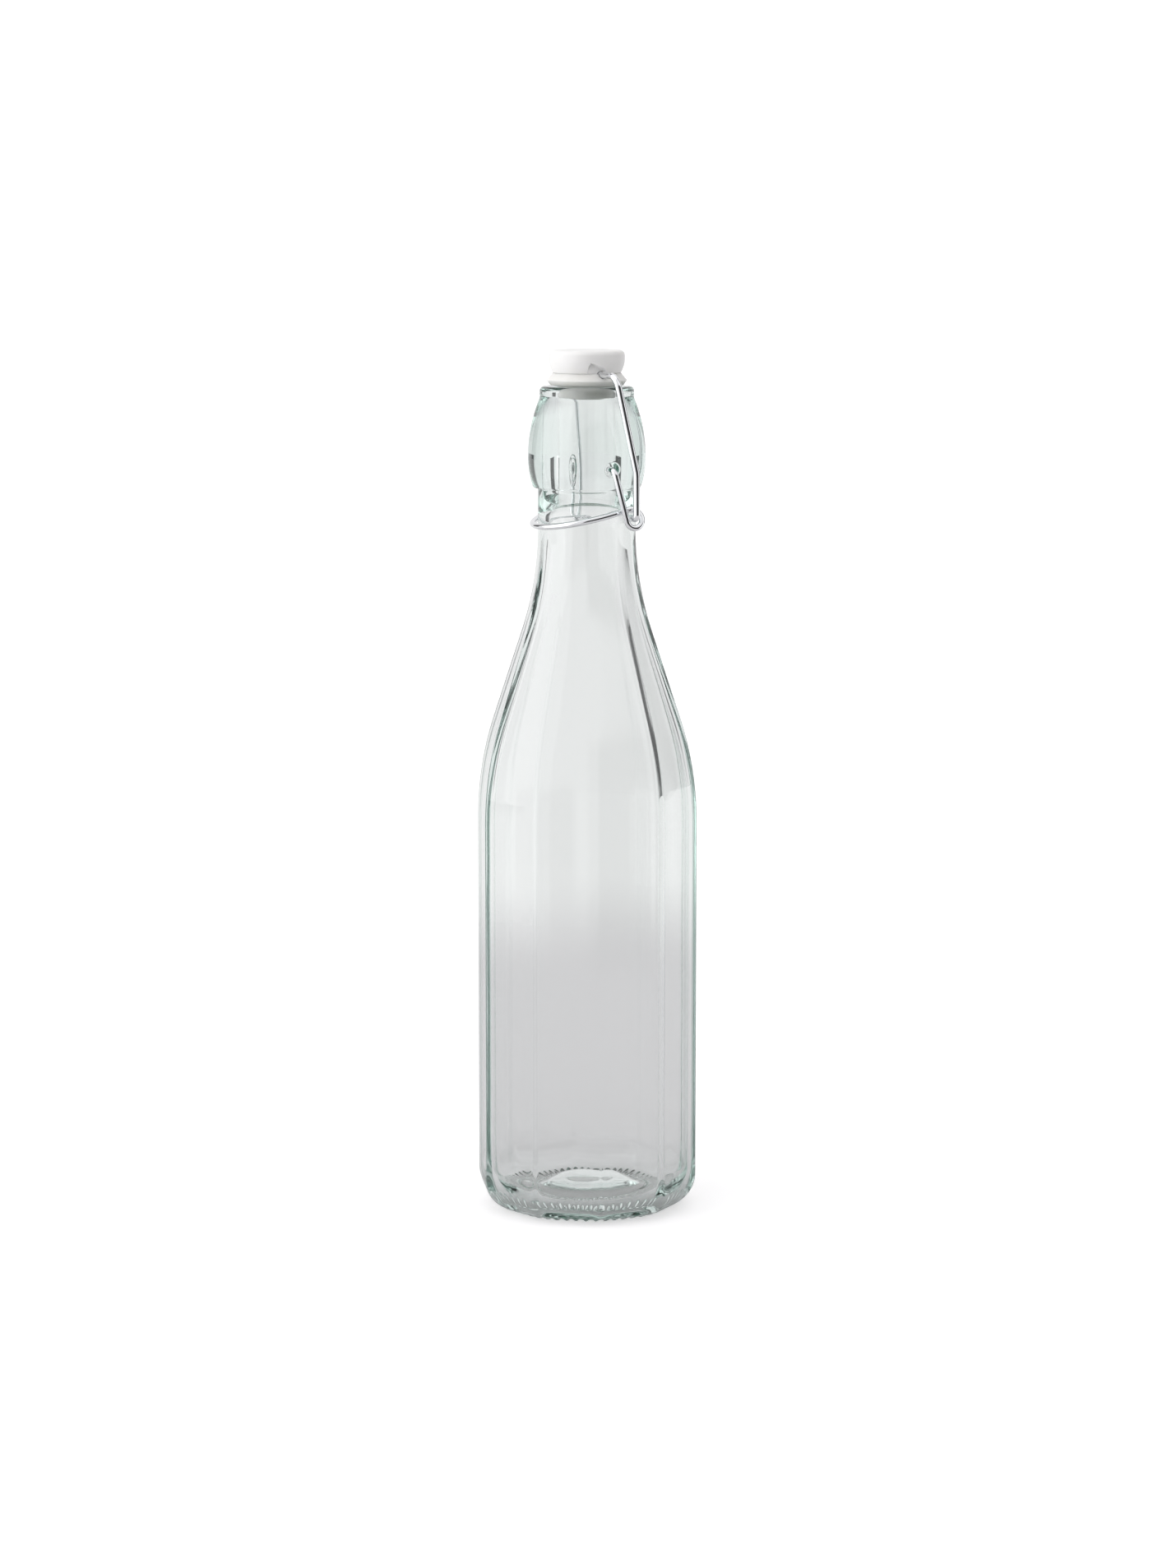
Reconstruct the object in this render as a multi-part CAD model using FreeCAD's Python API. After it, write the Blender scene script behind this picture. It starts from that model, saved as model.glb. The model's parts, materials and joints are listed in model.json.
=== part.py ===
"""Half-litre swing-top glass bottle, closed: a ten-sided moulded bottle with a round
collar, a white stopper on a rubber gasket, and the two bent wires that clamp it.

Millimetres, +Z up. The origin is the centre of the ring that the bottle stands on.
The lever turns about the X direction. Its handle is on the -Y side of the neck and
its two eyes are on the +Y side.
"""
import FreeCAD, Part

import math
import os

V = FreeCAD.Vector

# ---- Bottle: body and shoulder, outside ----
FACETS = 10                 # flat panels round the body, an even number
BODY_CORNER_R = 34.6        # to the softened corners between the panels
PANEL_CUT = 1.45            # the middle of a panel is in by this much from the corners
BODY_HEIGHT = 122.2         # where the body starts to turn in
SHOULDER_HEIGHT = 90.4      # from there up to the straight neck
NECK_R = 15.05
NECK_LENGTH = 43.5          # straight neck, collar and lip together
SHOULDER_STEEPNESS = 1.52   # slope of the shoulder's middle over its average slope
SHOULDER_SHARE = 0.523      # share of the shoulder's two bend radii that the lower one has
PANEL_END_BELOW = 4.1       # the panels end this much below the straight neck,
PANEL_END_OUT = 0.55        # this far outside it, so that they run out above the shoulder

# ---- Bottle: base ----
HEEL_R = 10.8
STANDING_WIDTH = 1.8        # flat ring that it stands on
PUNT_HEIGHT = 3.6           # how far the underside is pushed up at its middle
PUNT_EDGE = 1.5             # bevel between the ring and the punt

# ---- Bottle: collar and lip ----
COLLAR_HEIGHT = 31.0        # from its underside to the top of the glass
COLLAR_FULL_DOWN = 21.9     # its fullest height, down from the top
COLLAR_OUT = 3.05           # beyond the neck
COLLAR_SKIRT_IN = 1.4       # at its lower edge, from its fullest radius
COLLAR_EDGE = 0.7           # bevel under its side
LIP_WALL = 5.5
LIP_BAND = 3.5              # height of the lip's straight side and rounded edge
LIP_OUTER_EDGE_R = 1.5
LIP_INNER_EDGE_R = 1.3

# ---- Bottle: inside ----
PANEL_WALL = 2.6            # glass behind a panel
CORNER_WALL = 3.2           # glass behind a corner, thicker because the inside is rounder
NECK_WALL = 3.3
BORE_R = 9.0
BORE_LENGTH = 33.5          # the narrow bore, down from the top
BORE_LEAD_IN = 3.2          # height of the cone that leads into the bore
FLOOR_Z = 6.0               # lowest point inside, in the gutter round the floor
FLOOR_HEEL_R = 9.0
FLOOR_RAISED = 2.5          # height of the round pad in the middle of the floor
FLOOR_PAD_IN = 3.4          # the pad is smaller than the standing ring's inside by this
FLOOR_STEP = 2.4            # width of the slope from the pad down to the gutter

# ---- Recesses that the lever's ends turn in ----
PIVOT_BELOW_FULL = 2.7      # below the collar's fullest height
RECESS_RIM_R = 2.6
RECESS_END_R = 1.8
RECESS_DEPTH = 3.2

# ---- Lever: one bent wire ----
LEVER_WIRE_R = 0.95
LEVER_END_GAP = 0.3         # from the wire's end to the bottom of its recess
LEVER_ARM_GAP = 0.25        # from the arm to the collar's side
LEVER_BEND_R = 2.2
EYE_Y = 7.0
EYE_DROP = 15.05            # from the pivots down to the eyes
EYE_SIDES = 12              # bends that the eye is rolled in
HANDLE_SLOPE = 13.4         # degrees down from the eyes to the handle's end
HANDLE_GAP = 0.45           # from the handle to the neck
BEND_SHARE = 0.98           # a run of bends uses this share of the room, so short straights stay

# ---- Bail: one bent wire, through the stopper and hooked into the eyes ----
BAIL_WIRE_R = 1.05
BAIL_GAP = 0.25             # between the bail's arms and the lever's
BAIL_TOP_IN = 0.9           # the arms are closer together at the top by this much each
BAIL_TOP_BEND_R = 4.2
BAIL_KNEE_BELOW_PIVOT = 1.2
BAIL_KNEE_Y_OFFSET = -0.1   # from the hook's height to the knee
BAIL_KNEE_BEND_R = 11.0
HOOK_ROOM = 0.75            # between the hook and the eye that it hangs in, all round
HOOK_Y_OFFSET = -0.5        # the hook hangs off the middle of the eye's hole
HOOK_Z_OFFSET = 0.15
HOOK_BEND_R = 1.6
HOOK_REACH = 5.6            # length of the hook, from the arm inwards

# ---- Gasket ----
GASKET_LIP_GAP = 0.15       # between the gasket and the top of the glass
GASKET_THICKNESS = 3.85     # from there to the stopper's head
GASKET_RIM_BELOW_TOP = 2.2
GASKET_OUT = 3.25           # beyond the bore
GASKET_TOP_IN = 1.75        # from the rim to its top edge
GASKET_UNDER_IN = 1.0       # from the rim to its lower edge
GASKET_UNDER_RISE = 0.25
PLUG_CLEARANCE = 0.3        # between the plug and the bore
PLUG_DEPTH = 4.2            # how far the plug reaches below the top of the glass
PLUG_EDGE_R = 0.6
PLUG_WALL = 3.7             # rubber round the stopper's stem
SLOT_CLEARANCE = 0.25       # round the cross wire, in the gasket's rim

# ---- Stopper head: one moulding with the stem that goes through the gasket ----
HEAD_OUT = 2.6              # beyond the bore
HEAD_FOOT_IN = 1.2          # at its lower edge, from its full radius
HEAD_BELLY_IN = 0.3
HEAD_BELLY_RISE = 2.1
HEAD_FULL_RISE = 4.5        # where it is fullest, up from its lower edge
HEAD_HEIGHT = 7.0
HEAD_CROWN = 0.3            # rise of the top face at its middle
HEAD_EDGE_R = 1.5
HUB_IN = 0.8                # disc under the head, in from its lower edge
HUB_WALL = 0.5              # plastic under the cross wire
PIN_BELOW_HEAD = 0.25       # centre of the bail's cross wire, down from the head's lower edge
PIN_CLEARANCE = 0.1
NOTCH_DEPTH = 0.7           # side notches over the wire, in from the head's lower edge
NOTCH_OUTLINE = ((-4.5, 0.0), (-4.3, 2.0), (-3.7, 3.3), (-2.9, 3.1), (0.6, 1.5), (1.9, 0.0))

# ---- Worked out from the sizes above ----
NECK_Z = BODY_HEIGHT + SHOULDER_HEIGHT
LIP_Z = NECK_Z + NECK_LENGTH            # top of the glass
PANEL_R = BODY_CORNER_R - PANEL_CUT
COLLAR_Z = LIP_Z - COLLAR_HEIGHT
COLLAR_FULL_Z = LIP_Z - COLLAR_FULL_DOWN
COLLAR_R = NECK_R + COLLAR_OUT
LIP_R = BORE_R + LIP_WALL
BORE_Z = LIP_Z - BORE_LENGTH
STANDING_R_OUT = BODY_CORNER_R - HEEL_R
STANDING_R_IN = STANDING_R_OUT - STANDING_WIDTH
PIVOT_Z = COLLAR_FULL_Z - PIVOT_BELOW_FULL
RECESS_END_X = COLLAR_R - RECESS_DEPTH
LEVER_END_X = RECESS_END_X + LEVER_END_GAP
LEVER_ARM_X = COLLAR_R + LEVER_ARM_GAP + LEVER_WIRE_R
HANDLE_R = NECK_R + HANDLE_GAP + LEVER_WIRE_R
EYE_Z = PIVOT_Z - EYE_DROP
EYE_R = LEVER_WIRE_R + BAIL_WIRE_R + HOOK_ROOM
EYE_STEP = LEVER_ARM_X - HANDLE_R       # the eye's wire steps in by this much from arm to handle
BAIL_ARM_X = LEVER_ARM_X + LEVER_WIRE_R + BAIL_GAP + BAIL_WIRE_R
HOOK_Y = EYE_Y + HOOK_Y_OFFSET
HOOK_Z = EYE_Z + HOOK_Z_OFFSET
GASKET_Z = LIP_Z + GASKET_LIP_GAP
GASKET_R = BORE_R + GASKET_OUT
PLUG_R = BORE_R - PLUG_CLEARANCE
PLUG_Z = LIP_Z - PLUG_DEPTH
STEM_R = PLUG_R - PLUG_WALL
HEAD_Z = GASKET_Z + GASKET_THICKNESS    # lower edge of the head
HEAD_R = BORE_R + HEAD_OUT
HEAD_FOOT_R = HEAD_R - HEAD_FOOT_IN
HUB_R = HEAD_FOOT_R - HUB_IN
PIN_Z = HEAD_Z - PIN_BELOW_HEAD
PIN_HOLE_R = BAIL_WIRE_R + PIN_CLEARANCE
HUB_Z = PIN_Z - PIN_HOLE_R - HUB_WALL


# ---------------------------------------------------------------- half sections
def at(r, z):
    """A point of a half section, at radius r and height z."""
    return V(r, 0, z)


def line(a, b):
    return Part.LineSegment(a, b).toShape()


def arc(centre, radius, start, end):
    """Arc of a half section about a centre, from one angle to another, in degrees."""
    def on(angle):
        turn = math.radians(angle)
        return centre + V(radius * math.cos(turn), 0, radius * math.sin(turn))

    return Part.Arc(on(start), on((start + end) / 2), on(end)).toShape()


def dome(edge_r, edge_z, rise):
    """Shallow dome over a round edge: its arc from the axis out to the edge."""
    radius = (edge_r ** 2 + rise ** 2) / (2 * rise)
    half_angle = math.degrees(math.asin(edge_r / radius))
    return arc(at(0, edge_z + rise - radius), radius, 90, 90 - half_angle)


def bulge(full_r, full_z, edge_r, edge_z):
    """Centre, radius and end angle of the arc from an upright fullest point to an edge."""
    inwards = full_r - edge_r
    height = edge_z - full_z
    radius = (height ** 2 + inwards ** 2) / (2 * inwards)
    return at(full_r - radius, full_z), radius, math.degrees(math.asin(height / radius))


def shoulder(body_r, body_z, neck_r, neck_z, wall=0.0):
    """The shoulder's two arcs and the straight between them, from the body up to the neck.

    A wall moves both arcs in, about the same centres.
    """
    drop = body_r - neck_r
    rise = neck_z - body_z
    lean = SHOULDER_STEEPNESS * math.atan2(drop, rise)
    both_bends = (rise * math.sin(lean) - drop * math.cos(lean)) / (1 - math.cos(lean))
    body_bend = SHOULDER_SHARE * both_bends
    neck_bend = both_bends - body_bend
    lean = math.degrees(lean)
    lower = arc(at(body_r - body_bend, body_z), body_bend - wall, 0, lean)
    upper = arc(at(neck_r + neck_bend, neck_z), neck_bend + wall, 180 + lean, 180)
    return lower, upper


def ends(edge):
    return edge.Vertexes[0].Point, edge.Vertexes[-1].Point


def chain(pieces):
    """Edges through points and edges in order. Straight lines close each gap between them."""
    edges = []
    last = None
    for piece in pieces:
        is_point = isinstance(piece, FreeCAD.Vector)
        first, final = (piece, piece) if is_point else ends(piece)
        if last is not None and last.distanceToPoint(first) > 1e-6:
            edges.append(line(last, first))
        if not is_point:
            edges.append(piece)
        last = final
    return edges


def turned(pieces):
    """Solid of revolution about Z of a half section, whose first piece is a point on the axis."""
    face = Part.Face(Part.Wire(chain(list(pieces) + [pieces[0]])))
    return face.revolve(V(0, 0, 0), V(0, 0, 1), 360)


# ---------------------------------------------------------------- bottle
def panelled(solid, arcs, end_z):
    """Cuts flat panels on a turned solid up to end_z. Each panel follows the shoulder's arcs."""
    beyond = 10.0
    low, high, wide = -beyond, LIP_Z + beyond, 2 * BODY_CORNER_R
    panel_r = ends(arcs[0])[0].x
    neck_r = ends(arcs[1])[1].x
    outline = [at(0, low), at(panel_r, low), *arcs, at(neck_r, end_z), at(wide, end_z),
               at(wide, high), at(0, high), at(0, low)]
    slab = Part.Face(Part.Wire(chain(outline))).extrude(V(0, 2 * wide, 0))
    slab.translate(V(0, -wide, 0))
    slab = slab.fuse(slab.mirror(V(0, 0, 0), V(1, 0, 0))).removeSplitter()
    for i in range(FACETS // 2):
        cutter = slab.copy()
        cutter.rotate(V(0, 0, 0), V(0, 0, 1), i * 360.0 / FACETS)
        solid = solid.common(cutter)
    return solid


def panel_arcs(wall=0.0):
    # The panels turn in at the same height as the corners. Lower, their cuts don't hold.
    return shoulder(PANEL_R, BODY_HEIGHT, NECK_R + PANEL_END_OUT, NECK_Z - PANEL_END_BELOW, wall)


def bottle_outside():
    skirt_r = COLLAR_R - COLLAR_SKIRT_IN
    skirt_z = COLLAR_Z + COLLAR_EDGE
    low_centre, low_bend, skirt_angle = bulge(COLLAR_R, COLLAR_FULL_Z, skirt_r, skirt_z)
    high_centre, high_bend, lip_angle = bulge(COLLAR_R, COLLAR_FULL_Z, LIP_R, LIP_Z - LIP_BAND)
    solid = turned([
        at(0, PUNT_HEIGHT),
        dome(STANDING_R_IN - PUNT_EDGE, PUNT_EDGE, PUNT_HEIGHT - PUNT_EDGE),
        at(STANDING_R_IN, 0),
        arc(at(STANDING_R_OUT, HEEL_R), HEEL_R, -90, 0),
        *shoulder(BODY_CORNER_R, BODY_HEIGHT, NECK_R, NECK_Z),
        at(NECK_R, COLLAR_Z),
        at(skirt_r - COLLAR_EDGE, COLLAR_Z),
        arc(low_centre, low_bend, skirt_angle, 0),
        arc(high_centre, high_bend, 0, lip_angle),
        arc(at(LIP_R - LIP_OUTER_EDGE_R, LIP_Z - LIP_OUTER_EDGE_R), LIP_OUTER_EDGE_R, 0, 90),
        arc(at(BORE_R + LIP_INNER_EDGE_R, LIP_Z - LIP_INNER_EDGE_R), LIP_INNER_EDGE_R, 90, 180),
        at(0, LIP_Z - LIP_INNER_EDGE_R),
    ])
    return panelled(solid, panel_arcs(), NECK_Z)


def bottle_inside():
    wall_r = BODY_CORNER_R - CORNER_WALL
    neck_r = NECK_R - NECK_WALL
    pad_r = STANDING_R_IN - FLOOR_PAD_IN
    solid = turned([
        at(0, FLOOR_Z + FLOOR_RAISED),
        at(pad_r, FLOOR_Z + FLOOR_RAISED),
        at(pad_r + FLOOR_STEP, FLOOR_Z),
        arc(at(wall_r - FLOOR_HEEL_R, FLOOR_Z + FLOOR_HEEL_R), FLOOR_HEEL_R, -90, 0),
        *shoulder(BODY_CORNER_R, BODY_HEIGHT, NECK_R, NECK_Z, CORNER_WALL),
        at(neck_r, NECK_Z),
        at(neck_r, BORE_Z - BORE_LEAD_IN),
        at(BORE_R, BORE_Z),
        at(BORE_R, LIP_Z),
        at(0, LIP_Z),
    ])
    return panelled(solid, panel_arcs(PANEL_WALL), NECK_Z)


def recess(side):
    """Tapered hole in the collar's side that one end of the lever turns in."""
    beyond = 3.0
    taper = (RECESS_RIM_R - RECESS_END_R) / RECESS_DEPTH
    return Part.makeCone(RECESS_END_R, RECESS_RIM_R + taper * beyond, RECESS_DEPTH + beyond,
                         V(side * RECESS_END_X, 0, PIVOT_Z), V(side, 0, 0))


def bottle():
    return bottle_outside().cut(bottle_inside()).cut(recess(1)).cut(recess(-1))


# ---------------------------------------------------------------- wires
def bent_path(points, bends):
    """Straight runs through the points, with an arc of the given radius at each inner point."""
    edges = []
    last = points[0]
    for before, corner, after, bend in zip(points, points[1:], points[2:], bends):
        into = (corner - before).normalize()
        out = (after - corner).normalize()
        turn = into.getAngle(out)
        reach = bend * math.tan(turn / 2)
        start = corner - into * reach
        end = corner + out * reach
        inward = (out - into).normalize()
        middle = corner + inward * (bend / math.cos(turn / 2) - bend)
        if last.distanceToPoint(start) > 1e-4:
            edges.append(line(last, start))
        edges.append(Part.Arc(start, middle, end).toShape())
        last = end
    edges.append(line(last, points[-1]))
    return Part.Wire(edges)


def bent_wire(half, bends, radius):
    """Round wire bent at the points of its +X half, and the same on the other side."""
    other_half = [V(-p.x, p.y, p.z) for p in reversed(half)]
    path = bent_path(half + other_half, bends + bends[::-1])
    start = path.Edges[0]
    section = Part.makeCircle(radius, start.valueAt(start.FirstParameter), start.tangentAt(start.FirstParameter))
    return Part.Solid(path.makePipeShell([Part.Wire(section)], True, False))


def lever_wire():
    # Seen from +X, the arm comes down to the eye, touching it on the handle's side, and the
    # wire rolls round underneath and back over the top, where it leaves for the handle.
    to_eye = math.hypot(EYE_Y, EYE_DROP)
    arm_heading = -math.atan2(EYE_DROP, EYE_Y) - math.asin(EYE_R / to_eye)
    handle_heading = math.pi + math.radians(HANDLE_SLOPE)
    step = (handle_heading - arm_heading) / EYE_SIDES
    corner_r = EYE_R / math.cos(step / 2)
    eye = []
    for i in range(EYE_SIDES):
        round_it = (i + 0.5) / EYE_SIDES
        angle = arm_heading + (i + 0.5) * step - math.pi / 2
        x = LEVER_ARM_X - EYE_STEP * (1 - math.cos(math.pi * round_it ** 2)) / 2
        eye.append(V(x, EYE_Y + corner_r * math.cos(angle), EYE_Z + corner_r * math.sin(angle)))
    # The handle lies in a sloping plane and rounds the neck with one half circle.
    top = handle_heading - math.pi / 2
    leaves_y = EYE_Y + EYE_R * math.cos(top)
    leaves_z = EYE_Z + EYE_R * math.sin(top)
    corner_z = leaves_z - (leaves_y + HANDLE_R) * math.tan(math.radians(HANDLE_SLOPE))
    end = V(LEVER_END_X, 0, PIVOT_Z)
    arm = V(LEVER_ARM_X, 0, PIVOT_Z)
    corner = V(HANDLE_R, -HANDLE_R, corner_z)
    bends = [LEVER_BEND_R] + [BEND_SHARE * EYE_R] * EYE_SIDES + [BEND_SHARE * HANDLE_R]
    return bent_wire([end, arm, *eye, corner], bends, LEVER_WIRE_R)


def bail_wire():
    tip = V(BAIL_ARM_X - HOOK_REACH, HOOK_Y, HOOK_Z)
    hook = V(BAIL_ARM_X, HOOK_Y, HOOK_Z)
    knee = V(BAIL_ARM_X, HOOK_Y + BAIL_KNEE_Y_OFFSET, PIVOT_Z - BAIL_KNEE_BELOW_PIVOT)
    top = V(BAIL_ARM_X - BAIL_TOP_IN, 0, PIN_Z)
    bends = [HOOK_BEND_R, BAIL_KNEE_BEND_R, BAIL_TOP_BEND_R]
    return bent_wire([tip, hook, knee, top], bends, BAIL_WIRE_R)


# ---------------------------------------------------------------- stopper and gasket
def notch(side):
    """Side notch over the cross wire, open downwards. Its steep side is towards the handle."""
    outline = [V(0, y, HEAD_Z + rise) for y, rise in NOTCH_OUTLINE]
    outline = [V(0, outline[0].y, HUB_Z), *outline, V(0, outline[-1].y, HUB_Z)]
    block = Part.Face(Part.makePolygon(outline + outline[:1])).extrude(V(side * HEAD_R, 0, 0))
    block.translate(V(side * (HEAD_FOOT_R - NOTCH_DEPTH), 0, 0))
    return block


def stopper_cap():
    top_r = HEAD_R - HEAD_EDGE_R
    top_z = HEAD_Z + HEAD_HEIGHT
    side = Part.Arc(at(HEAD_R, HEAD_Z + HEAD_FULL_RISE),
                    at(HEAD_R - HEAD_BELLY_IN, HEAD_Z + HEAD_BELLY_RISE),
                    at(HEAD_FOOT_R, HEAD_Z)).toShape()
    solid = turned([
        at(0, top_z + HEAD_CROWN),
        dome(top_r, top_z, HEAD_CROWN),
        arc(at(top_r, top_z - HEAD_EDGE_R), HEAD_EDGE_R, 90, 0),
        side,
        at(HUB_R, HEAD_Z),
        at(HUB_R, HUB_Z),
        at(STEM_R, HUB_Z),
        at(STEM_R, PLUG_Z),
        at(0, PLUG_Z),
    ])
    pin_hole = Part.makeCylinder(PIN_HOLE_R, 2 * HEAD_R, V(-HEAD_R, 0, PIN_Z), V(1, 0, 0))
    return solid.cut(pin_hole).cut(notch(1)).cut(notch(-1))


def gasket():
    solid = turned([
        at(0, PLUG_Z),
        arc(at(PLUG_R - PLUG_EDGE_R, PLUG_Z + PLUG_EDGE_R), PLUG_EDGE_R, -90, 0),
        at(PLUG_R, GASKET_Z),
        at(GASKET_R - GASKET_UNDER_IN, GASKET_Z + GASKET_UNDER_RISE),
        at(GASKET_R, HEAD_Z - GASKET_RIM_BELOW_TOP),
        at(GASKET_R - GASKET_TOP_IN, HEAD_Z),
        at(0, HEAD_Z),
    ])
    stem = Part.makeCylinder(STEM_R, HEAD_Z - PLUG_Z, V(0, 0, PLUG_Z))
    hub = Part.makeCylinder(HUB_R, HEAD_Z - HUB_Z, V(0, 0, HUB_Z))
    wire_way = Part.makeCylinder(BAIL_WIRE_R + SLOT_CLEARANCE, 2 * GASKET_R, V(-GASKET_R, 0, PIN_Z), V(1, 0, 0))
    return solid.cut(stem).cut(hub).cut(wire_way)


PARTS = {
    "bottle": bottle,
    "lever_wire": lever_wire,
    "bail_wire": bail_wire,
    "stopper_cap": stopper_cap,
    "gasket": gasket,
}

os.makedirs("parts", exist_ok=True)
for name, build in PARTS.items():
    shape = build()
    shape.exportStep(f"parts/{name}.step")
    print(f"{name}: {len(shape.Solids)} solid, valid {shape.isValid()}, {shape.Volume:.1f} mm3, "
          f"z {shape.BoundBox.ZMin:.2f} to {shape.BoundBox.ZMax:.2f}")
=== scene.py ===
import json
import math

import bmesh
import bpy
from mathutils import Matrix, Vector


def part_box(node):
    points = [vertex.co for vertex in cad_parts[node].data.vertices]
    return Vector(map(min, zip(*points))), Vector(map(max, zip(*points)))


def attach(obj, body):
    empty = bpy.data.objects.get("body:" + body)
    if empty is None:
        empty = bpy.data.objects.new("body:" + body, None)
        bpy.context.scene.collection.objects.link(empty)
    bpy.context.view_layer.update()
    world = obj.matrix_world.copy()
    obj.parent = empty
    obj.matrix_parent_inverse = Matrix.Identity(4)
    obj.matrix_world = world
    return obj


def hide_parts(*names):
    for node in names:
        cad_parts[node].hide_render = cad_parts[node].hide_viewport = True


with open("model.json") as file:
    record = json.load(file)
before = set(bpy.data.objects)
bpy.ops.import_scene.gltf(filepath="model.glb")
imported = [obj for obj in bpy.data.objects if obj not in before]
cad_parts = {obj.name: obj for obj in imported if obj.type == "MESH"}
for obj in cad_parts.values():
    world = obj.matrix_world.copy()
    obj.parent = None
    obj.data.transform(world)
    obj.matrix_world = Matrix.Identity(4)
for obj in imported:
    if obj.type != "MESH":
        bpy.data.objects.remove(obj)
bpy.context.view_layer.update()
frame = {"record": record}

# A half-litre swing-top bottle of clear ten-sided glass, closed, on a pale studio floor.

MM = 0.001

# ======================================================================= the glass bottle
# A ten-sided bottle of soda-lime glass, pressed and blown in a two-part mould. The panels run
# out on the neck, and the collar has a recess on each side for the lever. The underside is
# pushed up, and the bottle stands on a ring of rounded teeth. Sizes are in millimetres.

bottle_low, bottle_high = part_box("bottle")
joints = {joint["name"]: joint for joint in frame["record"]["behaviour"]["joints"]}
PIVOT = Vector(joints["lever_swing"]["pos_m"]) / MM
HOOK = Vector(joints["bail_swing"]["pos_m"]) / MM
PIN = Vector(joints["stopper_tilt"]["pos_m"]) / MM

LIP_Z = bottle_high[2] / MM
BODY_CORNER_R = bottle_high[1] / MM
PANEL_CUT = 1.45            # a panel's middle lies this far inside the corners
PANEL_R = BODY_CORNER_R - PANEL_CUT
PANELS = 10
BODY_HEIGHT = 122.2
NECK_R = 15.05
NECK_Z = 212.6
SHOULDER_STEEPNESS = 1.52
SHOULDER_SHARE = 0.523
PANEL_END_BELOW = 4.1
PANEL_END_OUT = 0.55
CORNER_SOFTNESS = 0.9       # blend between a panel and a rounded corner
INSIDE_SOFTNESS = 3.5       # the same on the inside, which the mould doesn't form
LEAST_SOFTNESS = 0.001

STANDING_R_IN = 22.0
HEEL_R = 10.8
PUNT_FLAT_R = 18.6          # the pushed-up disc
PUNT_EDGE_Z = 2.5
PUNT_HEIGHT = 4.8
TEETH = 55
TOOTH_DEPTH = 1.6
TEETH_START_R = 21.5        # the teeth begin just inside the standing ring
TEETH_FULL_R = 23.0

COLLAR_Z = 225.1
COLLAR_R = 18.1
COLLAR_FULL_Z = 234.2
COLLAR_SKIRT_R = 16.7
COLLAR_SKIRT_Z = 225.8
COLLAR_FILLET_R = 0.5
SKIRT_EDGE_R = 0.7
LIP_R = 14.5
LIP_BAND = 3.5
LIP_EDGE_R = 1.5
MOUTH_EDGE_R = 1.3
PARTING_DOWN = 2.9          # fine parting line round the lip, down from the top
PARTING_DEPTH = 0.18
PARTING_HALF_WIDTH = 0.3
BORE_R = 9.0
BORE_LENGTH = 33.5
LEDGE_ABOVE = 2.5           # the bore starts to widen this much higher than its end
LEDGE_HEIGHT = 9.0

PANEL_WALL = 2.6
CORNER_WALL = 3.2
NECK_WALL = 3.3
FLOOR_Z = 4.6
FLOOR_HEEL_R = 9.6
FLOOR_DOME_R = 20.5
FLOOR_DOME_RISE = 3.9

NO_PANEL = 1000.0           # stands for a panel that never reaches the glass


def shoulder_radius(z, body_r, body_z, neck_r, neck_z, wall=0.0):
    """Radius of the shoulder at a height: two arcs joined by their common tangent, less a wall."""
    drop, rise = body_r - neck_r, neck_z - body_z
    lean = SHOULDER_STEEPNESS * math.atan2(drop, rise)
    bends = (rise * math.sin(lean) - drop * math.cos(lean)) / (1 - math.cos(lean))
    body_bend = SHOULDER_SHARE * bends - wall
    neck_bend = bends - SHOULDER_SHARE * bends + wall
    body_centre = body_r - wall - body_bend
    neck_centre = neck_r - wall + neck_bend
    lower_z = body_z + body_bend * math.sin(lean)
    upper_z = neck_z - neck_bend * math.sin(lean)
    if z <= body_z:
        return body_r - wall
    if z < lower_z:
        return body_centre + math.sqrt(body_bend ** 2 - (z - body_z) ** 2)
    if z < upper_z:
        return body_centre + body_bend * math.cos(lean) - (z - lower_z) * math.tan(lean)
    if z < neck_z:
        return neck_centre - math.sqrt(neck_bend ** 2 - (neck_z - z) ** 2)
    return neck_r - wall


def corner_radius(z, wall=0.0):
    return shoulder_radius(z, BODY_CORNER_R, BODY_HEIGHT, NECK_R, NECK_Z, wall)


def panel_radius(z, wall=0.0):
    """Distance from the axis to the middle of a panel, at a height."""
    end_z = NECK_Z - PANEL_END_BELOW
    if z > end_z:
        return NO_PANEL
    return shoulder_radius(z, PANEL_R, BODY_HEIGHT, NECK_R + PANEL_END_OUT, end_z, wall)


def spread(start, end, count):
    """Evenly spaced values after the start, up to and with the end."""
    return [start + (end - start) * (i + 1) / count for i in range(count)]


def round_edge(centre_r, centre_z, radius, start, end, count):
    """Points of an arc after its start, with angles in degrees."""
    turns = [math.radians(angle) for angle in spread(start, end, count)]
    return [(centre_r + radius * math.cos(turn), centre_z + radius * math.sin(turn)) for turn in turns]


def clamp(share):
    return min(1.0, max(0.0, share))


def ease(share):
    return share * share * (3 - 2 * share)


def collar_radius(z):
    edge_r, edge_z = (COLLAR_SKIRT_R, COLLAR_SKIRT_Z) if z < COLLAR_FULL_Z else (LIP_R, LIP_Z - LIP_BAND)
    inwards, height = COLLAR_R - edge_r, edge_z - COLLAR_FULL_Z
    bend = (height ** 2 + inwards ** 2) / (2 * inwards)
    return COLLAR_R - bend + math.sqrt(bend ** 2 - (z - COLLAR_FULL_Z) ** 2)


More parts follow.
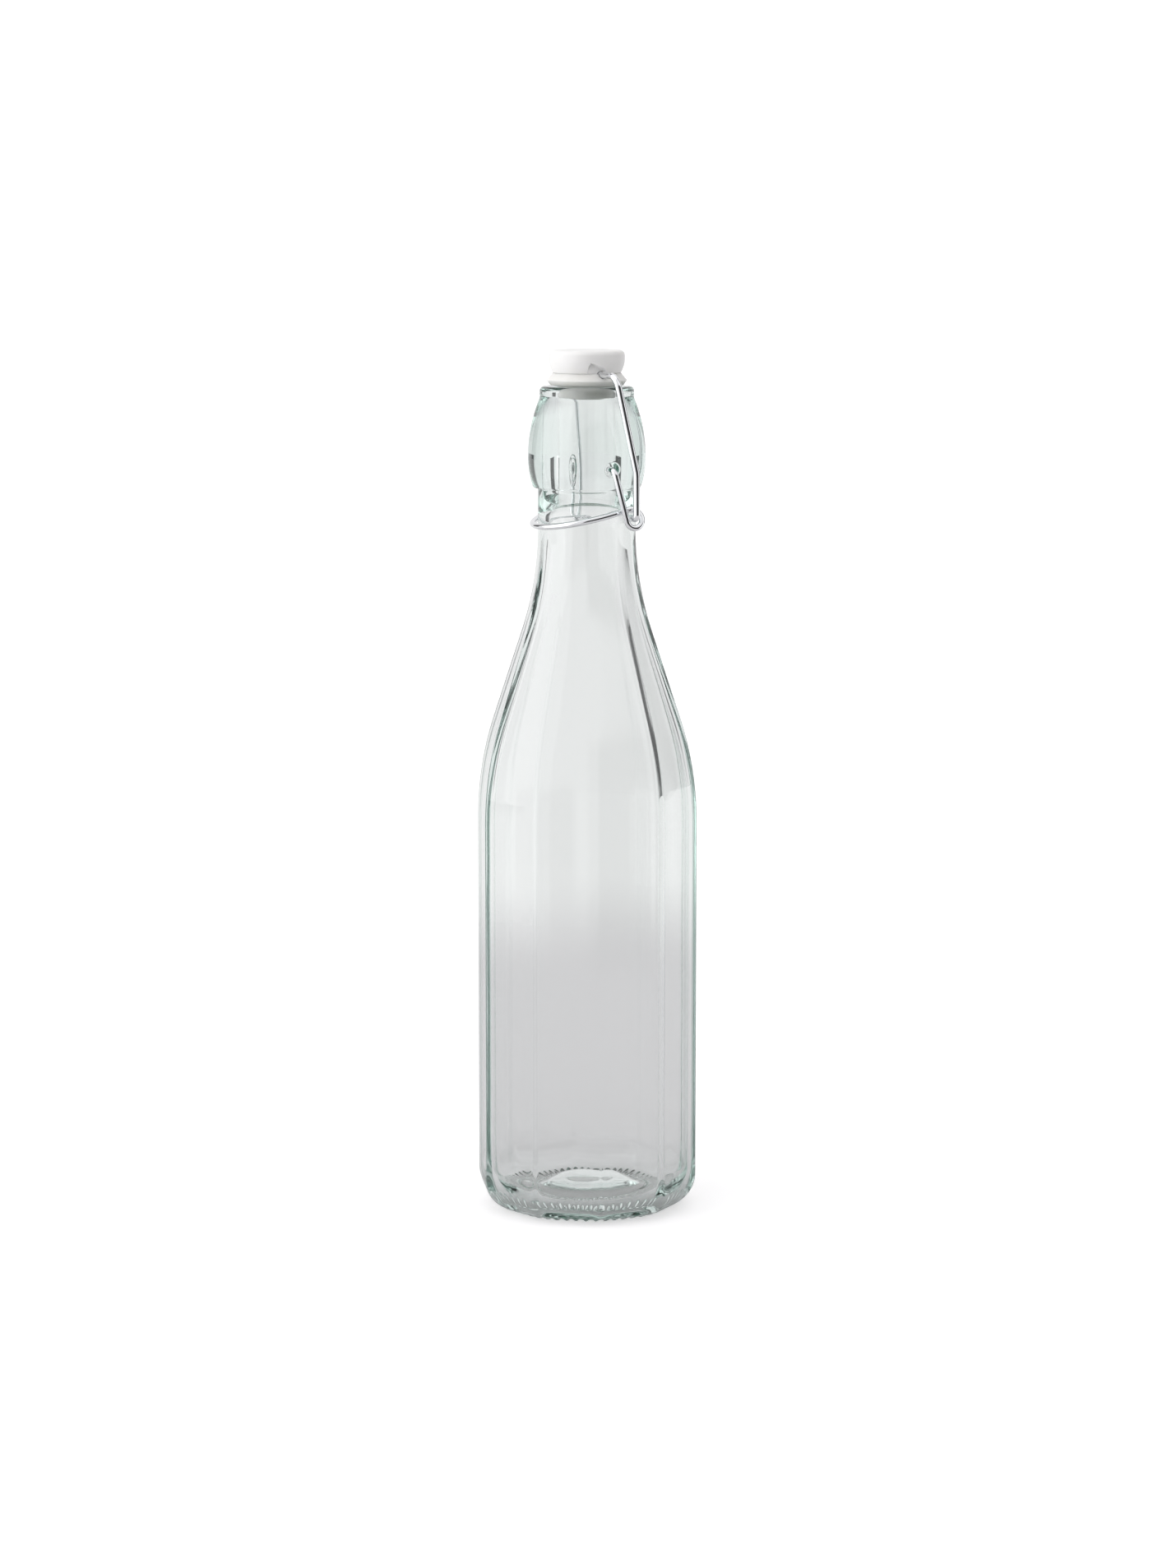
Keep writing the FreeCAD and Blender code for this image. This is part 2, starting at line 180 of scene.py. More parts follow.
def glass_section():
    """The glass's half section, from the middle of the underside round the lip to the floor inside.

    Each row has a corner radius, a panel radius, a height, how deep the valleys between its
    teeth are, how far the glass waves there, and how soft its corners are.
    """
    rows = []

    def outside(r, z, panel_r=None, softness=CORNER_SOFTNESS):
        share = ease(clamp((r - TEETH_START_R) / (TEETH_FULL_R - TEETH_START_R)))
        valley = share * max(0.0, TOOTH_DEPTH - z)
        rows.append((r, panel_r or panel_radius(z), z, valley, 0.0, softness))

    def inside(r, z, wave, panel_r=None, softness=INSIDE_SOFTNESS):
        rows.append((r, panel_r or panel_radius(z, PANEL_WALL), z, 0.0, wave, softness))

    def heel_panel(r, corner_r, panel_r, heel_r, softness):
        """A panel's own radius and softness at the heel. Both fade into the round underside."""
        centre_r = corner_r - heel_r
        out = (r - centre_r) / heel_r
        return centre_r + (panel_r - centre_r) * out, softness * out + LEAST_SOFTNESS

    # Underside: a shallow dome, a steep edge down to the standing ring, and the heel.
    outside(0, PUNT_HEIGHT)
    for r in spread(0, PUNT_FLAT_R, 7):
        outside(r, PUNT_EDGE_Z + (PUNT_HEIGHT - PUNT_EDGE_Z) * (1 - (r / PUNT_FLAT_R) ** 2))
    for share in spread(0, 1, 9):
        r = PUNT_FLAT_R + share * (STANDING_R_IN - PUNT_FLAT_R)
        outside(r, PUNT_EDGE_Z * (1 - ease(share)))
    for r in spread(STANDING_R_IN, BODY_CORNER_R - HEEL_R, 4):
        outside(r, 0)
    for r, z in round_edge(BODY_CORNER_R - HEEL_R, HEEL_R, HEEL_R, -90, 0, 22):
        outside(r, z, *heel_panel(r, BODY_CORNER_R, PANEL_R, HEEL_R, CORNER_SOFTNESS))
    # Body, shoulder and neck.
    for z in spread(HEEL_R, BODY_HEIGHT - 2, 4):
        outside(corner_radius(z), z)
    for z in spread(BODY_HEIGHT - 2, NECK_Z + 2, 32):
        outside(corner_radius(z), z)
    for z in spread(NECK_Z + 2, COLLAR_Z - COLLAR_FILLET_R - 0.1, 4):
        outside(corner_radius(z), z)
    # Collar and lip.
    fillet_r, fillet_z = NECK_R + COLLAR_FILLET_R, COLLAR_Z - COLLAR_FILLET_R
    for r, z in round_edge(fillet_r, fillet_z, COLLAR_FILLET_R, 180, 90, 4):
        outside(r, z)
    for r, z in round_edge(COLLAR_SKIRT_R - SKIRT_EDGE_R, COLLAR_SKIRT_Z, SKIRT_EDGE_R, -90, 0, 6):
        outside(r, z)
    for z in spread(COLLAR_SKIRT_Z, LIP_Z - LIP_BAND, 30):
        outside(collar_radius(z), z)
    groove_z = LIP_Z - PARTING_DOWN
    outside(LIP_R, groove_z - PARTING_HALF_WIDTH)
    outside(LIP_R - PARTING_DEPTH, groove_z)
    outside(LIP_R, groove_z + PARTING_HALF_WIDTH)
    for r, z in round_edge(LIP_R - LIP_EDGE_R, LIP_Z - LIP_EDGE_R, LIP_EDGE_R, 0, 90, 8):
        outside(r, z)
    # Inside: the lip's edge, the narrow bore and its ledge, the neck, shoulder and body.
    for r, z in round_edge(BORE_R + MOUTH_EDGE_R, LIP_Z - MOUTH_EDGE_R, MOUTH_EDGE_R, 90, 180, 8):
        inside(r, z, 0.0)
    bore_z = LIP_Z - BORE_LENGTH
    neck_r = NECK_R - NECK_WALL
    ledge_z = bore_z + LEDGE_ABOVE
    for z in spread(LIP_Z - MOUTH_EDGE_R, ledge_z, 6):
        inside(BORE_R, z, 0.02)
    for share in spread(0, 1, 12):
        inside(BORE_R + (neck_r - BORE_R) * ease(share), ledge_z - LEDGE_HEIGHT * share, 0.04)
    for z in spread(ledge_z - LEDGE_HEIGHT, NECK_Z, 2):
        inside(corner_radius(z, NECK_WALL), z, 0.05)
    for z in spread(NECK_Z, BODY_HEIGHT, 22):
        thicker = NECK_WALL + (CORNER_WALL - NECK_WALL) * (NECK_Z - z) / (NECK_Z - BODY_HEIGHT)
        inside(corner_radius(z, thicker), z, 0.06)
    wall_r = BODY_CORNER_R - CORNER_WALL
    heel_z = FLOOR_Z + FLOOR_HEEL_R
    for z in spread(BODY_HEIGHT, heel_z, 9):
        inside(wall_r, z, 0.07)
    for r, z in round_edge(wall_r - FLOOR_HEEL_R, heel_z, FLOOR_HEEL_R, 0, -90, 12):
        inside(r, z, 0.1, *heel_panel(r, wall_r, PANEL_R - PANEL_WALL, FLOOR_HEEL_R, INSIDE_SOFTNESS))
    for share in spread(0, 1, 6):
        r = wall_r - FLOOR_HEEL_R - share * (wall_r - FLOOR_HEEL_R - FLOOR_DOME_R)
        inside(r, FLOOR_Z, 0.12)
    for share in spread(0, 1, 9):
        inside(FLOOR_DOME_R * (1 - share), FLOOR_Z + FLOOR_DOME_RISE * ease(clamp(share * 1.6)), 0.12)
    return rows


def section_mesh(name, rows):
    """A line of points, one for each row, that carries what the turning tree reads."""
    mesh = bpy.data.meshes.new(name)
    mesh.from_pydata([(row[0] * MM, 0, row[2] * MM) for row in rows],
                     [(i, i + 1) for i in range(len(rows) - 1)], [])
    for column, key, scale in ((1, "panel", MM), (3, "valley", MM), (4, "wave", MM), (5, "softness", MM)):
        values = mesh.attributes.new(key, "FLOAT", "POINT")
        values.data.foreach_set("value", [row[column] * scale for row in rows])
    return mesh


def node(tree, kind, inputs=None, **settings):
    """Adds a node. An input takes a value, or the socket that it is linked from."""
    made = tree.nodes.new(kind)
    for name, value in settings.items():
        setattr(made, name, value)
    for name, value in (inputs or {}).items():
        if isinstance(value, bpy.types.NodeSocket):
            tree.links.new(value, made.inputs[name])
        else:
            made.inputs[name].default_value = value
    return made


def math_node(tree, operation, *values):
    return node(tree, "ShaderNodeMath", dict(enumerate(values)), operation=operation).outputs[0]


def tree_inputs(tree, sockets):
    """Gives a geometry tree its input and output sockets, and returns its input node's outputs."""
    tree.interface.new_socket("Geometry", in_out="INPUT", socket_type="NodeSocketGeometry")
    tree.interface.new_socket("Geometry", in_out="OUTPUT", socket_type="NodeSocketGeometry")
    for name, kind in sockets:
        tree.interface.new_socket(name, in_out="INPUT", socket_type=kind)
    return tree.nodes.new("NodeGroupInput").outputs


def turning_tree():
    """Turns a section round the Z axis, with flat panels, teeth below and gentle waves."""
    tree = bpy.data.node_groups.new("turned_section", "GeometryNodeTree")
    given = tree_inputs(tree, [
        ("Columns", "NodeSocketInt"), ("Panels", "NodeSocketInt"), ("Teeth", "NodeSocketInt"),
        ("Wave Size", "NodeSocketFloat"), ("Material", "NodeSocketMaterial")])

    def calc(operation, *values):
        return math_node(tree, operation, *values)

    sized = node(tree, "GeometryNodeAttributeDomainSize", {"Geometry": given["Geometry"]})
    rows = sized.outputs["Point Count"]
    grid = node(tree, "GeometryNodeMeshGrid", {
        "Vertices X": calc("ADD", given["Columns"], 1.0), "Vertices Y": rows}).outputs["Mesh"]
    index = node(tree, "GeometryNodeInputIndex").outputs[0]
    column = calc("FLOOR", calc("DIVIDE", calc("ADD", index, 0.5), rows))
    row = calc("SUBTRACT", index, calc("MULTIPLY", column, rows))

    def of_row(kind, value):
        sampled = node(tree, "GeometryNodeSampleIndex", {
            "Geometry": given["Geometry"], "Value": value, "Index": row}, data_type=kind)
        return sampled.outputs["Value"]

    def attribute(key):
        named = node(tree, "GeometryNodeInputNamedAttribute", {"Name": key}, data_type="FLOAT")
        return of_row("FLOAT", named.outputs["Attribute"])

    # Where the column lies, in panels from the first one's middle.
    along = calc("MULTIPLY", calc("DIVIDE", column, given["Columns"]), given["Panels"])
    panel_number = calc("ROUND", along)
    off_middle = calc("SUBTRACT", along, panel_number)
    panel_angle = calc("DIVIDE", math.tau, given["Panels"])
    off_angle = calc("MULTIPLY", off_middle, panel_angle)
    angle = calc("ADD", calc("MULTIPLY", panel_number, panel_angle), off_angle)

    place = node(tree, "GeometryNodeInputPosition").outputs[0]
    section = node(tree, "ShaderNodeSeparateXYZ", {0: of_row("FLOAT_VECTOR", place)}).outputs
    flat = calc("DIVIDE", attribute("panel"), calc("COSINE", off_angle))
    radius = calc("SMOOTH_MIN", section["X"], flat, attribute("softness"))
    # Rounded teeth point downwards, with narrow valleys between them.
    turn = calc("COSINE", calc("MULTIPLY", angle, calc("DIVIDE", given["Teeth"], 2.0)))
    tooth = calc("POWER", calc("ABSOLUTE", turn), 1.5)
    lift = calc("MULTIPLY", calc("SUBTRACT", 1.0, tooth), attribute("valley"))
    height = calc("ADD", section["Z"], lift)

    def on_circle(r):
        return node(tree, "ShaderNodeCombineXYZ", {
            "X": calc("MULTIPLY", r, calc("COSINE", angle)),
            "Y": calc("MULTIPLY", r, calc("SINE", angle)), "Z": height}).outputs[0]

    waves = node(tree, "ShaderNodeTexNoise", {
        "Vector": on_circle(radius), "Scale": calc("DIVIDE", 1.0, given["Wave Size"]), "Detail": 1.0})
    swell = calc("MULTIPLY", attribute("wave"), 2.0)
    ripple = calc("MULTIPLY", calc("SUBTRACT", waves.outputs[0], 0.5), swell)
    # A wave dies out at the axis, where all the columns meet.
    near_axis = calc("MINIMUM", calc("DIVIDE", section["X"], 4.0 * MM), 1.0)
    waved = calc("ADD", radius, calc("MULTIPLY", ripple, near_axis))
    placed = node(tree, "GeometryNodeSetPosition", {"Geometry": grid, "Position": on_circle(waved)})
    merged = node(tree, "GeometryNodeMergeByDistance", {
        "Geometry": placed.outputs[0], "Distance": 0.002 * MM})
    smooth = node(tree, "GeometryNodeSetShadeSmooth", {"Geometry": merged.outputs[0]})
    real = node(tree, "GeometryNodeRealizeInstances", {"Geometry": smooth.outputs[0]})
    finished = node(tree, "GeometryNodeSetMaterial", {
        "Geometry": real.outputs[0], "Material": given["Material"]})
    node(tree, "NodeGroupOutput", {"Geometry": finished.outputs[0]})
    return tree


def grown(name, data, tree, values):
    """Runs a geometry tree on a mesh or a curve, and returns the result as a plain mesh object."""
    seed = bpy.data.objects.new(name + "_seed", data)
    bpy.context.scene.collection.objects.link(seed)
    modifier = seed.modifiers.new("shape", "NODES")
    modifier.node_group = tree
    for item in tree.interface.items_tree:
        if item.item_type == "SOCKET" and item.in_out == "INPUT" and item.name in values:
            modifier[item.identifier] = values[item.name]
    depsgraph = bpy.context.evaluated_depsgraph_get()
    mesh = bpy.data.meshes.new_from_object(seed.evaluated_get(depsgraph), depsgraph=depsgraph)
    seed.modifiers.clear()
    bpy.data.objects.remove(seed)
    mesh.name = name
    piece = bpy.data.objects.new(name, mesh)
    bpy.context.scene.collection.objects.link(piece)
    return piece


def face_outwards(piece):
    """Points all the faces of a closed piece outwards."""
    shell = bmesh.new()
    shell.from_mesh(piece.data)
    bmesh.ops.recalc_face_normals(shell, faces=shell.faces)
    shell.to_mesh(piece.data)
    shell.free()


RECESS_RIM_R = 2.75
RECESS_END_R = 1.85
RECESS_DEPTH = 3.2
RECESS_EDGE_R = 0.45
RECESS_DISH = 0.6
RECESS_WINDOW = 3.9         # half the square of the collar's grid that is built anew


def recess_profile():
    """Radius and depth of the recess, from its soft rim to its dished end."""
    rim = [(RECESS_RIM_R - RECESS_EDGE_R * math.sin(turn), RECESS_EDGE_R * (1 - math.cos(turn)))
           for turn in (math.radians(angle) for angle in range(0, 81, 16))]
    start_r, start_depth = rim[-1]
    end_depth = RECESS_DEPTH - RECESS_DISH
    wall = [(start_r + (RECESS_END_R - start_r) * share, start_depth + (end_depth - start_depth) * share)
            for share in spread(0, 1, 6)]
    end = [(RECESS_END_R * math.cos(turn), end_depth + RECESS_DISH * math.sin(turn))
           for turn in (math.radians(angle) for angle in range(15, 90, 15))]
    return rim + wall + end


def press_recess(piece, side):
    """Swaps a square of the collar's grid for rings that close in on a recess."""
    shell = bmesh.new()
    shell.from_mesh(piece.data)
    shell.faces.ensure_lookup_table()
    glass = shell.faces[0].material_index
    window = RECESS_WINDOW * MM
    pivot_z = PIVOT.z * MM
    doomed = []
    for face in shell.faces:
        middle = face.calc_center_median()
        round_collar = abs(math.atan2(middle.y, middle.x * side)) * COLLAR_R * MM
        if middle.xy.length > NECK_R * MM and round_collar < window and abs(middle.z - pivot_z) < window:
            doomed.append(face)
    bmesh.ops.delete(shell, geom=doomed, context="FACES")
    rim = {vert for edge in shell.edges if edge.is_boundary for vert in edge.verts}
    rim = sorted(rim, key=lambda vert: math.atan2(vert.co.z - pivot_z, vert.co.y))
    angles = [math.atan2(vert.co.z - pivot_z, vert.co.y) for vert in rim]

    def on_collar(y, z):
        return math.sqrt(collar_radius(z / MM) ** 2 - (y / MM) ** 2) * MM

    def stitch(outer, inner):
        count = len(outer)
        for i in range(count):
            after = (i + 1) % count
            shell.faces.new((outer[i], outer[after], inner[after], inner[i]))

    ring = rim
    for share in spread(0, 1, 6)[:-1]:
        closer = []
        for vert, angle in zip(rim, angles):
            y = vert.co.y + (RECESS_RIM_R * MM * math.cos(angle) - vert.co.y) * share
            z = vert.co.z + (pivot_z + RECESS_RIM_R * MM * math.sin(angle) - vert.co.z) * share
            closer.append(shell.verts.new((side * on_collar(y, z), y, z)))
        stitch(ring, closer)
        ring = closer
    for radius, depth in recess_profile():
        level = depth / RECESS_DEPTH
        closer = []
        for angle in angles:
            y, z = radius * MM * math.cos(angle), pivot_z + radius * MM * math.sin(angle)
            x = on_collar(y, z) * (1 - level) + collar_radius(PIVOT.z) * MM * level - depth * MM
            closer.append(shell.verts.new((side * x, y, z)))
        stitch(ring, closer)
        ring = closer
    tip = shell.verts.new((side * (collar_radius(PIVOT.z) - RECESS_DEPTH) * MM, 0, pivot_z))
    for i, vert in enumerate(ring):
        shell.faces.new((vert, ring[(i + 1) % len(ring)], tip))
    for face in shell.faces:
        face.smooth = True
        face.material_index = glass
    shell.to_mesh(piece.data)
    shell.free()


def linear(hex_colour, alpha=1.0):
    """An sRGB colour such as '#c9cbcc' as linear red, green, blue and alpha."""
    parts = [int(hex_colour[i:i + 2], 16) / 255 for i in (1, 3, 5)]
    return [part / 12.92 if part <= 0.04045 else ((part + 0.055) / 1.055) ** 2.4 for part in parts] + [alpha]


def empty_material(name):
    """A new material and its cleared node tree."""
    material = bpy.data.materials.new(name)
    material.use_nodes = True
    material.node_tree.nodes.clear()
    return material, material.node_tree


def soda_lime_glass():
    """Clear bottle glass: a trace of iron gives it a grey-green cast that deepens along its edges."""
    material, tree = empty_material("soda_lime_glass")
    surface = node(tree, "ShaderNodeBsdfPrincipled", {
        "Base Color": linear("#fafafa"), "Roughness": 0.0, "IOR": 1.52, "Transmission Weight": 1.0})
    tint = node(tree, "ShaderNodeVolumeAbsorption", {"Color": linear("#c8e4dc"), "Density": 18.0})
    node(tree, "ShaderNodeOutputMaterial", {"Surface": surface.outputs[0], "Volume": tint.outputs[0]})
    return material


turning = turning_tree()
bottle = grown("bottle_glass", section_mesh("glass_section", glass_section()), turning, {
    "Columns": 440, "Panels": PANELS, "Teeth": TEETH, "Wave Size": 16 * MM,
    "Material": soda_lime_glass()})
press_recess(bottle, 1)
press_recess(bottle, -1)
face_outwards(bottle)
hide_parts("bottle")
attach(bottle, "bottle")


# ================================================================================ the lever
# One length of hard steel wire, bright zinc and chrome plated. It turns in the collar's two
# recesses, is rolled into an eye at each side, and goes round the neck as the handle.

LEVER_WIRE_R = 0.95
LEVER_END_GAP = 0.3
LEVER_ARM_GAP = 0.25
LEVER_BEND_R = 2.2
EYE_R = 2.75
HANDLE_GAP = 0.45
HANDLE_SLOPE = 13.4         # degrees down from the eyes to the handle's end
EYE_FROM_HOOK = (0.5, -0.15)     # the eye's middle, across and up from the bail's hook

LEVER_ARM_X = COLLAR_R + LEVER_ARM_GAP + LEVER_WIRE_R
HANDLE_R = NECK_R + HANDLE_GAP + LEVER_WIRE_R


def bend(before, corner, after, radius, count=14):
    """Points of the arc that rounds the corner of a path."""
    into = (corner - before).normalized()
    out = (after - corner).normalized()
    turn = into.angle(out)
    reach = radius * math.tan(turn / 2)
    centre = corner + (out - into).normalized() * (radius / math.cos(turn / 2))
    start = corner - into * reach - centre
    ahead = into * radius
    return [centre + start * math.cos(turn * i / count) + ahead * math.sin(turn * i / count)
            for i in range(count + 1)]


def mirrored(half):
    """A path's +X half, carried on to the other side."""
    return half + [Vector((-point.x, point.y, point.z)) for point in reversed(half)]


def wire_line(name, points):
    """The wire's middle line as a mesh of edges, thinner at its two cut and tumbled ends."""
    mesh = bpy.data.meshes.new(name)
    ends = [(0.0, 0.55), (0.12, 0.85), (0.3, 1.0)]
    first, last = (points[1] - points[0]).normalized(), (points[-2] - points[-1]).normalized()
    path = [points[0] + first * along for along, _ in ends] + points[1:-1]
    path += [points[-1] + last * along for along, _ in reversed(ends)]
    widths = [width for _, width in ends]
    widths = widths + [1.0] * (len(points) - 2) + widths[::-1]
    mesh.from_pydata([point * MM for point in path], [(i, i + 1) for i in range(len(path) - 1)], [])
    values = mesh.attributes.new("width", "FLOAT", "POINT")
    values.data.foreach_set("value", widths)
    return mesh


def drawn_wire_tree():
    """Draws a round wire along a line of edges."""
    tree = bpy.data.node_groups.new("drawn_wire", "GeometryNodeTree")
    given = tree_inputs(tree, [("Wire Radius", "NodeSocketFloat"), ("Sides", "NodeSocketInt"),
                               ("Material", "NodeSocketMaterial")])
    line = node(tree, "GeometryNodeMeshToCurve", {"Mesh": given["Geometry"]})
    width = node(tree, "GeometryNodeInputNamedAttribute", {"Name": "width"}, data_type="FLOAT")
    sized = node(tree, "GeometryNodeSetCurveRadius", {"Curve": line.outputs[0], "Radius": width.outputs[0]})
    ring = node(tree, "GeometryNodeCurvePrimitiveCircle", {
        "Resolution": given["Sides"], "Radius": given["Wire Radius"]})
    drawn = node(tree, "GeometryNodeCurveToMesh", {
        "Curve": sized.outputs[0], "Profile Curve": ring.outputs["Curve"], "Fill Caps": True,
        "Scale": width.outputs[0]})
    smooth = node(tree, "GeometryNodeSetShadeSmooth", {"Geometry": drawn.outputs[0]})
    real = node(tree, "GeometryNodeRealizeInstances", {"Geometry": smooth.outputs[0]})
    finished = node(tree, "GeometryNodeSetMaterial", {
        "Geometry": real.outputs[0], "Material": given["Material"]})
    node(tree, "NodeGroupOutput", {"Geometry": finished.outputs[0]})
    return tree


def lever_path():
    """Down the arm, round the eye and over its top, away to the handle and round the neck."""
    pivot = Vector((COLLAR_R - RECESS_DEPTH + LEVER_END_GAP, PIVOT.y, PIVOT.z))
    arm = Vector((LEVER_ARM_X, PIVOT.y, PIVOT.z))
    eye_y, eye_z = HOOK.y + EYE_FROM_HOOK[0], HOOK.z + EYE_FROM_HOOK[1]
    drop = PIVOT.z - eye_z
    arm_heading = -math.atan2(drop, eye_y) - math.asin(EYE_R / math.hypot(eye_y, drop))
    handle_heading = math.pi + math.radians(HANDLE_SLOPE)
    eye = []
    for share in [0.0] + spread(0, 1, 44):
        angle = arm_heading + share * (handle_heading - arm_heading) - math.pi / 2
        x = LEVER_ARM_X - (LEVER_ARM_X - HANDLE_R) * (1 - math.cos(math.pi * share ** 2)) / 2
        eye.append(Vector((x, eye_y + EYE_R * math.cos(angle), eye_z + EYE_R * math.sin(angle))))
    leaving = eye[-1]
    fall = (leaving.y + HANDLE_R) * math.tan(math.radians(HANDLE_SLOPE))
    corner = Vector((HANDLE_R, -HANDLE_R, leaving.z - fall))
    across = Vector((-HANDLE_R, corner.y, corner.z))
    round_neck = bend(leaving, corner, across, HANDLE_R * 0.98, 40)
    return mirrored([pivot, *bend(pivot, arm, eye[0], LEVER_BEND_R), *eye, *round_neck])


def plated_steel():
    """Bright plated wire: a mirror with a slight draw-bench haze and faint clouding."""
    material, tree = empty_material("bright_plated_steel")
    place = node(tree, "ShaderNodeTexCoord").outputs["Object"]
    clouds = node(tree, "ShaderNodeTexNoise", {"Vector": place, "Scale": 1 / (6 * MM), "Detail": 3.0})
    tone = node(tree, "ShaderNodeMix", {
        "Factor": clouds.outputs[0], "A": linear("#dfe1e4"), "B": linear("#eff0f1")}, data_type="RGBA")
    haze = node(tree, "ShaderNodeMapRange", {
        "Value": clouds.outputs[0], "From Min": 0.3, "From Max": 0.7, "To Min": 0.05, "To Max": 0.13})
    surface = node(tree, "ShaderNodeBsdfPrincipled", {
        "Base Color": tone.outputs["Result"], "Metallic": 1.0, "Roughness": haze.outputs[0]})
    node(tree, "ShaderNodeOutputMaterial", {"Surface": surface.outputs[0]})
    return material


steel = plated_steel()
drawing = drawn_wire_tree()
lever = grown("lever", wire_line("lever_line", lever_path()), drawing, {
    "Wire Radius": LEVER_WIRE_R * MM, "Sides": 24, "Material": steel})
face_outwards(lever)
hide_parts("lever_wire")
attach(lever, "lever")

# ================================================================================= the bail
# The second wire, of the same plated steel and a little thicker. Its ends hook into the
# lever's eyes, and its top goes across through the stopper and turns in it.

BAIL_WIRE_R = 1.05
BAIL_GAP = 0.25
HOOK_REACH = 5.6
HOOK_BEND_R = 1.6
BAIL_KNEE_BELOW_PIVOT = 1.2
BAIL_KNEE_BEND_R = 11.0
BAIL_TOP_IN = 0.9
BAIL_TOP_BEND_R = 4.2

BAIL_ARM_X = LEVER_ARM_X + LEVER_WIRE_R + BAIL_GAP + BAIL_WIRE_R


def bail_path():
    """From a hook's cut end up the arm and across to the other side."""
    tip = Vector((BAIL_ARM_X - HOOK_REACH, HOOK.y, HOOK.z))
    hook = Vector((BAIL_ARM_X, HOOK.y, HOOK.z))
    knee = Vector((BAIL_ARM_X, HOOK.y - 0.1, PIVOT.z - BAIL_KNEE_BELOW_PIVOT))
    top = Vector((BAIL_ARM_X - BAIL_TOP_IN, PIN.y, PIN.z))
    across = Vector((0, PIN.y, PIN.z))
    return mirrored([tip, *bend(tip, hook, knee, HOOK_BEND_R), *bend(hook, knee, top, BAIL_KNEE_BEND_R),
                     *bend(knee, top, across, BAIL_TOP_BEND_R)])


bail = grown("bail", wire_line("bail_line", bail_path()), drawing, {
    "Wire Radius": BAIL_WIRE_R * MM, "Sides": 24, "Material": steel})
face_outwards(bail)
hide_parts("bail_wire")
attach(bail, "bail")

# ============================================================================== the stopper
# An injection-moulded polypropylene head in one piece with the stem under it. The bail's top
# goes through a cross hole under the head, and a notch at each side gives its bends room.

HEAD_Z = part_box("gasket")[1][2] / MM    # underside of the head
HEAD_TOP_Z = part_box("stopper_cap")[1][2] / MM
HEAD_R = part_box("stopper_cap")[1][0] / MM
HEAD_FOOT_R = HEAD_R - 1.2
HEAD_FULL_RISE = 4.5
HEAD_CROWN = 0.3
HEAD_EDGE_R = 1.5
HUB_R = 9.6
HUB_Z = 258.2
STEM_R = 5.0
STEM_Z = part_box("stopper_cap")[0][2] / MM
HOLE_R = BAIL_WIRE_R + 0.1
NOTCH_FLOOR_X = 9.7
NOTCH_OUTLINE = ((-4.5, -0.6), (-4.3, 2.0), (-3.7, 3.3), (-2.9, 3.1), (0.6, 1.5), (1.9, -0.6))
NOTCH_EDGE = 0.3            # softness of the notch's edges
STEM_EDGE_R = 0.3
FOOT_EDGE_R = 0.25
BELLY_RISE = 2.1            # the side's curve passes a point this far above the underside
BELLY_IN = 0.3              # and this far inside the full radius


def round_row(r, z):
    """A section's row with no panels, teeth or waves."""
    return r, NO_PANEL, z, 0.0, 0.0, 0.0


def stopper_section():
    """Half section of the stem, the hub and the head, from the stem's foot to the crown."""
    rows = []

    def point(r, z):
        rows.append(round_row(r, z))

    top_r, edge_z = HEAD_R - HEAD_EDGE_R, HEAD_TOP_Z - HEAD_CROWN
    full_z = HEAD_Z + HEAD_FULL_RISE
    point(0, STEM_Z)
    for r in spread(0, STEM_R - STEM_EDGE_R, 3):
        point(r, STEM_Z)
    for r, z in round_edge(STEM_R - STEM_EDGE_R, STEM_Z + STEM_EDGE_R, STEM_EDGE_R, -90, 0, 4):
        point(r, z)
    for z in spread(STEM_Z + STEM_EDGE_R, HUB_Z, 8):
        point(STEM_R, z)
    for r in spread(STEM_R, HUB_R, 5):
        point(r, HUB_Z)
    for z in spread(HUB_Z, HEAD_Z, 6):
        point(HUB_R, z)
    point(HEAD_FOOT_R - FOOT_EDGE_R, HEAD_Z)
    for r, z in round_edge(HEAD_FOOT_R - FOOT_EDGE_R, HEAD_Z + FOOT_EDGE_R, FOOT_EDGE_R, -90, -20, 4):
        point(r, z)
    # A parabola through the foot, a point on the belly and the full height.
    flare = HEAD_R - HEAD_FOOT_R
    belly_up = BELLY_RISE / HEAD_FULL_RISE
    curve = (flare - BELLY_IN - flare * belly_up) / (belly_up * (belly_up - 1))
    for z in spread(HEAD_Z + 0.3, full_z, 26):
        up = (z - HEAD_Z) / HEAD_FULL_RISE
        point(HEAD_FOOT_R + flare * up + curve * up * (up - 1), z)
    for z in spread(full_z, edge_z - HEAD_EDGE_R, 6):
        point(HEAD_R, z)
    for r, z in round_edge(top_r, edge_z - HEAD_EDGE_R, HEAD_EDGE_R, 0, 90, 10):
        point(r, z)
    for share in spread(0, 1, 10):
        point(top_r * (1 - share), edge_z + HEAD_CROWN * (1 - (1 - share) ** 2))
    return rows


def inside_depth(outline, y, z):
    """How deep a point lies inside a convex outline. It is negative outside."""
    depth = 1e9
    for (y0, z0), (y1, z1) in zip(outline, outline[1:]):
        run, climb = y1 - y0, z1 - z0
        depth = min(depth, (run * (z0 - z) - climb * (y0 - y)) / math.hypot(run, climb))
    return depth


def press_notches(piece):
    """Presses the soft-edged notches into both sides of the head."""
    for vert in piece.data.vertices:
        x, y, z = vert.co / MM
        reach = math.hypot(x, y)
        if z < HEAD_Z - 0.01 or abs(x) < NOTCH_FLOOR_X or reach < HUB_R + 0.2:
            continue
        depth = inside_depth(NOTCH_OUTLINE, y, z - HEAD_Z)
        amount = ease(clamp(0.5 + depth / NOTCH_EDGE))
        floor_x = math.copysign(NOTCH_FLOOR_X, x)
        vert.co.x = (x + (floor_x - x) * amount) * MM


